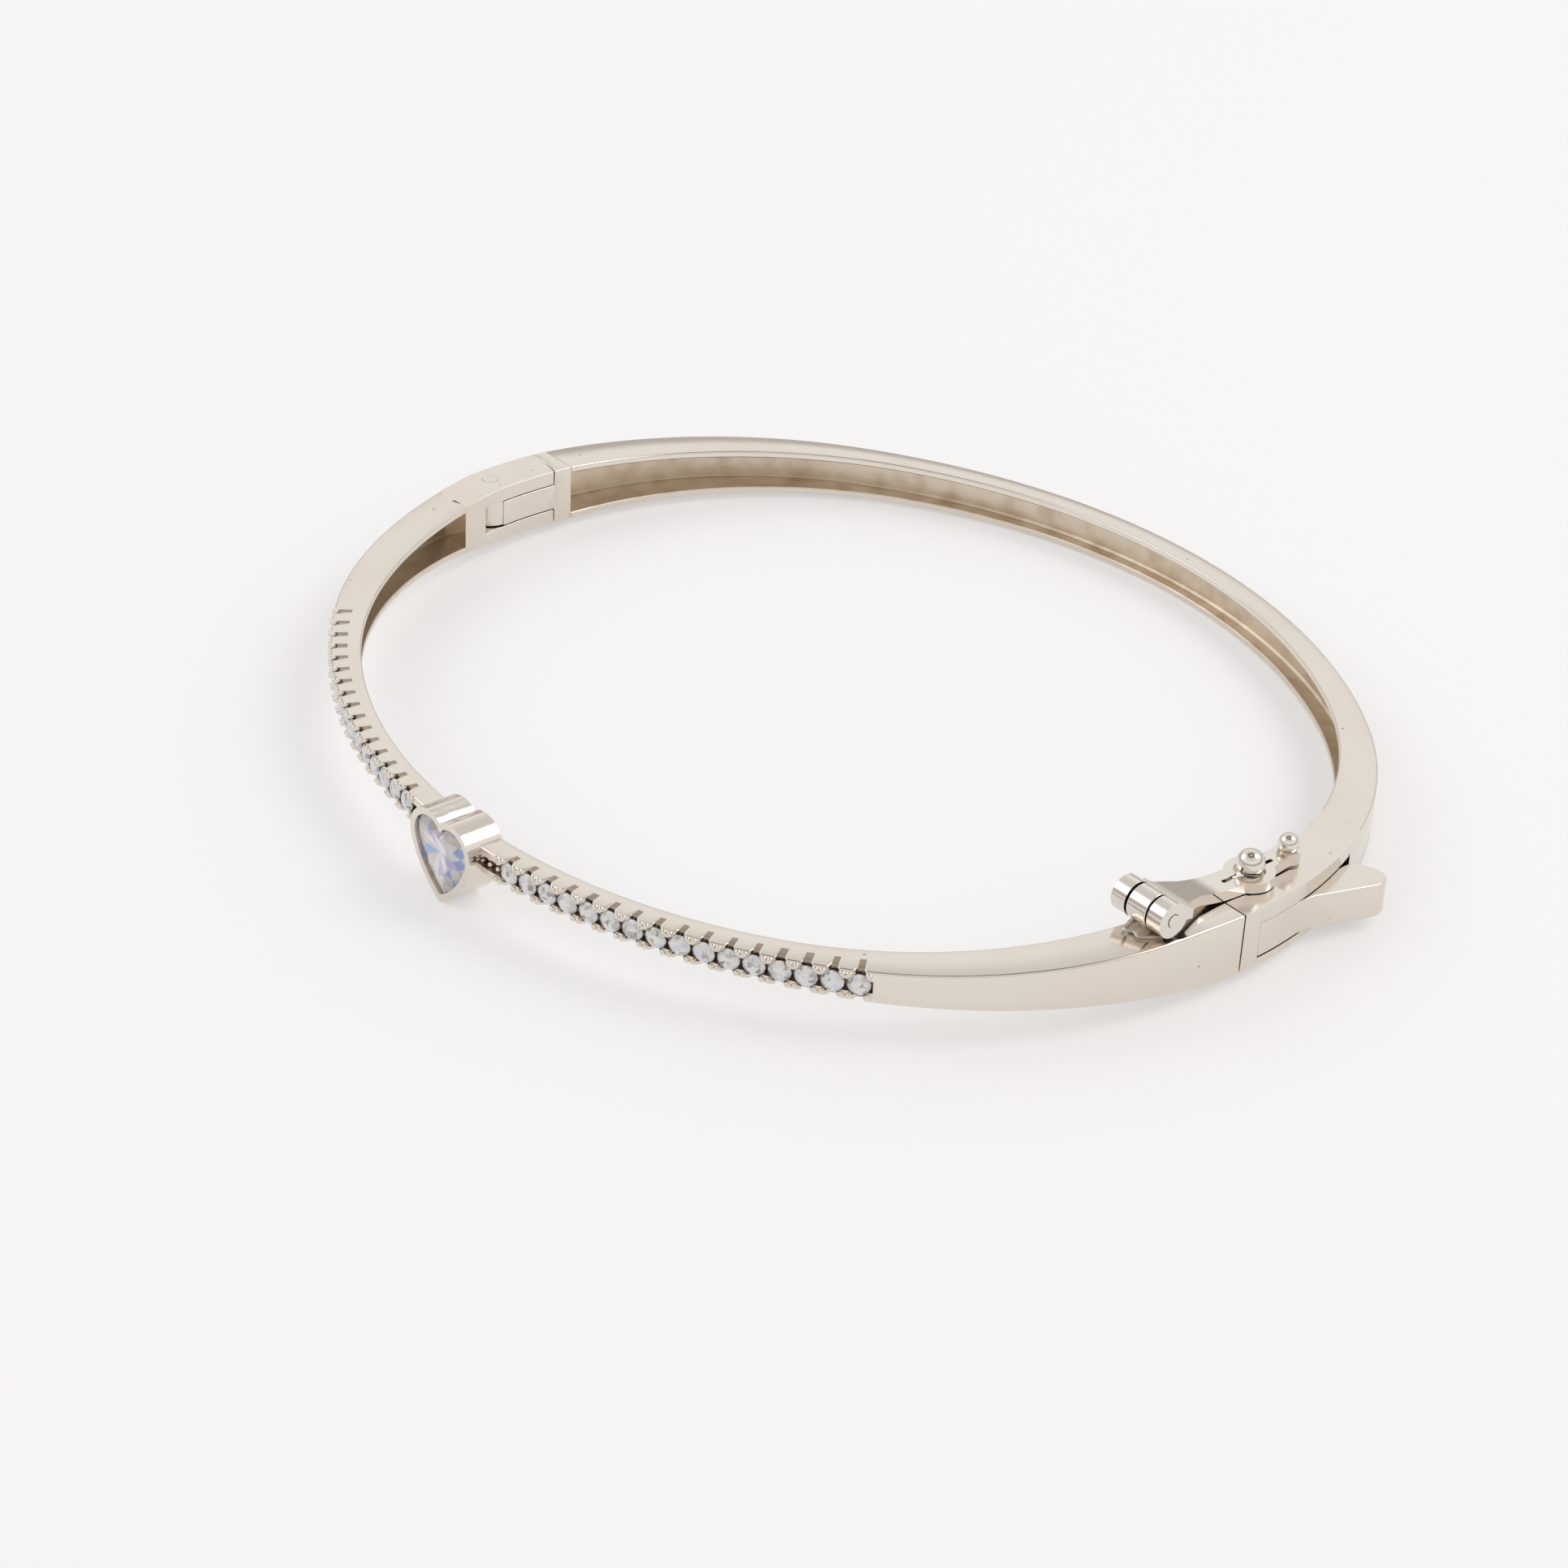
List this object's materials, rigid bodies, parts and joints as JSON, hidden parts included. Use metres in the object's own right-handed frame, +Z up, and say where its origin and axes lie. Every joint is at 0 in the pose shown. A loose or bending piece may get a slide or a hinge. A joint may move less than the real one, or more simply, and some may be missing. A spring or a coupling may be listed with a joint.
{
  "type": "bangle bracelet",
  "caption": "Oval hinged bangle in polished white metal with a bezel set heart stone, rows of round stones, a push lever clasp and a figure eight safety latch.",
  "frame": {"origin": "centre of the wrist opening, at half the height of the band", "axes": "+X to the clasp, -Y to the heart at the front, +Z up, square to the plane of the band"},
  "size_m": [0.0643, 0.0547, 0.0073],
  "materials": {
    "band_metal": "polished",
    "bezel_metal": "polished",
    "latch_metal": "polished",
    "pin_metal": "satin",
    "spring_metal": "satin",
    "heart_stone": "faceted",
    "round_stone": "faceted"
  },
  "bodies": {
    "front_half": {"front_rail_hinge_side": "band_metal", "front_rail_clasp_side": "band_metal", "hinge_fork": "band_metal", "hinge_pin": "pin_metal", "clasp_tongue": "band_metal", "heart_bezel": "bezel_metal", "heart_stone": "heart_stone", "latch_post": "latch_metal", "latch_pin": "pin_metal", "stone_hinge_side_1": "round_stone", "stone_hinge_side_2": "round_stone", "stone_hinge_side_3": "round_stone", "stone_hinge_side_4": "round_stone", "stone_hinge_side_5": "round_stone", "stone_hinge_side_6": "round_stone", "stone_hinge_side_7": "round_stone", "stone_hinge_side_8": "round_stone", "stone_hinge_side_9": "round_stone", "stone_hinge_side_10": "round_stone", "stone_hinge_side_11": "round_stone", "stone_hinge_side_12": "round_stone", "stone_hinge_side_13": "round_stone", "stone_hinge_side_14": "round_stone", "stone_hinge_side_15": "round_stone", "stone_hinge_side_16": "round_stone", "stone_clasp_side_1": "round_stone", "stone_clasp_side_2": "round_stone", "stone_clasp_side_3": "round_stone", "stone_clasp_side_4": "round_stone", "stone_clasp_side_5": "round_stone", "stone_clasp_side_6": "round_stone", "stone_clasp_side_7": "round_stone", "stone_clasp_side_8": "round_stone", "stone_clasp_side_9": "round_stone", "stone_clasp_side_10": "round_stone", "stone_clasp_side_11": "round_stone", "stone_clasp_side_12": "round_stone", "stone_clasp_side_13": "round_stone", "stone_clasp_side_14": "round_stone", "stone_clasp_side_15": "round_stone", "stone_clasp_side_16": "round_stone"},
    "back_half": {"back_rail": "band_metal", "hinge_tongue": "band_metal", "clasp_box": "band_metal", "lever_pin": "pin_metal", "lever_spring": "spring_metal", "ball_stud": "latch_metal"},
    "lever": {"thumb_lever": "band_metal"},
    "latch": {"safety_latch": "latch_metal", "latch_bead": "latch_metal"}
  },
  "joints": [
    {"name": "bangle_hinge", "type": "hinge", "parent": "front_half", "child": "back_half", "pos_m": [-0.03035, -0.00235, 0], "axis": [0, 0, 1], "range_deg": [0, 55]},
    {"name": "lever_pivot", "type": "hinge", "parent": "back_half", "child": "lever", "pos_m": [0.03084, 0.0034, -0.00025], "axis": [0, 0, 1], "range_deg": [0, 9], "stiffness_Nm_per_rad": 0.02, "springref_deg": -5.73, "deforming": ["lever_spring"]},
    {"name": "latch_pivot", "type": "hinge", "parent": "front_half", "child": "latch", "pos_m": [0.0292, -0.005, 0.00277], "axis": [1, 0, 0], "range_deg": [0, 105]}
  ]
}
